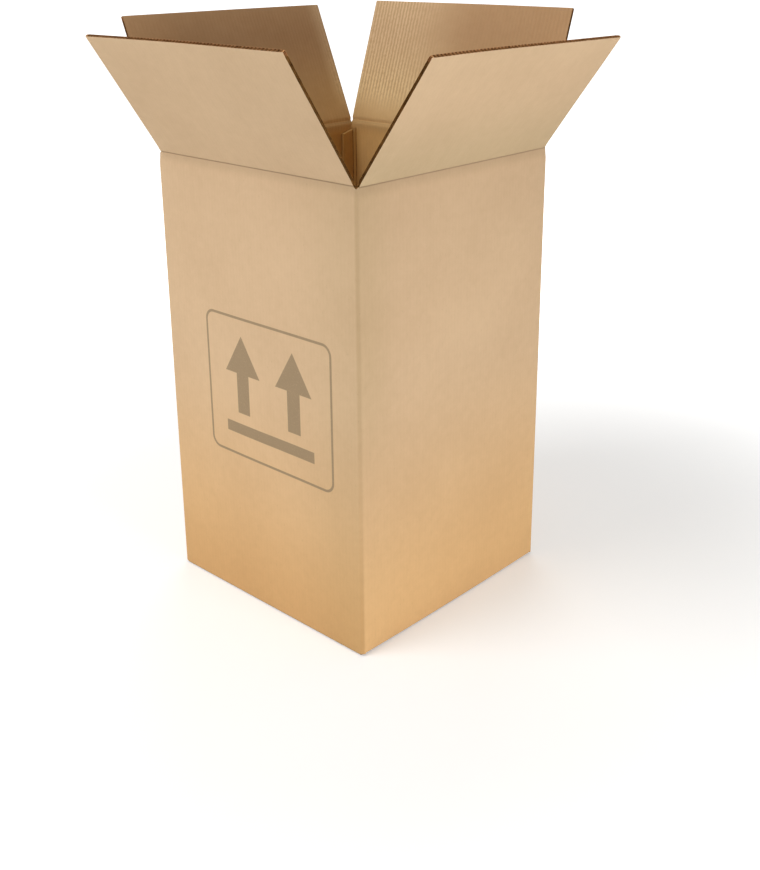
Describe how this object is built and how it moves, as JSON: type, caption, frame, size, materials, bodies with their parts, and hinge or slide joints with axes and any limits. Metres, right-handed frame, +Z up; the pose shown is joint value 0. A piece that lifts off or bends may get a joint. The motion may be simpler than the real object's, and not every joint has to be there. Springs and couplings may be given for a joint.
{
  "type": "moving box",
  "caption": "Tall square corrugated moving box, set up and open at the top, with four hinged top flaps and a taped bottom.",
  "frame": {"origin": "on the floor, under the middle of the box", "axes": "+Z up, the printed front wall faces -Y, the right wall faces +X"},
  "size_m": [0.6969, 0.6737, 1.0141],
  "materials": {
    "board": "matte kraft liner over fluted double-wall board",
    "tape": "brown packing tape"
  },
  "bodies": {
    "box": {"box_body": "board", "bottom_tape": "tape"},
    "front_flap": {"flap_front": "board"},
    "right_flap": {"flap_right": "board"},
    "back_flap": {"flap_back": "board"},
    "left_flap": {"flap_left": "board"}
  },
  "joints": [
    {"name": "front_crease", "type": "hinge", "parent": "box", "child": "front_flap", "pos_m": [0, -0.23607, 0.78813], "axis": [1, 0, 0], "range_deg": [-123, 137]},
    {"name": "right_crease", "type": "hinge", "parent": "box", "child": "right_flap", "pos_m": [0.2354, 0, 0.782], "axis": [0, 1, 0], "range_deg": [-126, 134]},
    {"name": "back_crease", "type": "hinge", "parent": "box", "child": "back_flap", "pos_m": [0, 0.23574, 0.78846], "axis": [-1, 0, 0], "range_deg": [-108, 152]},
    {"name": "left_crease", "type": "hinge", "parent": "box", "child": "left_flap", "pos_m": [-0.2354, 0, 0.782], "axis": [0, -1, 0], "range_deg": [-112, 148]}
  ]
}
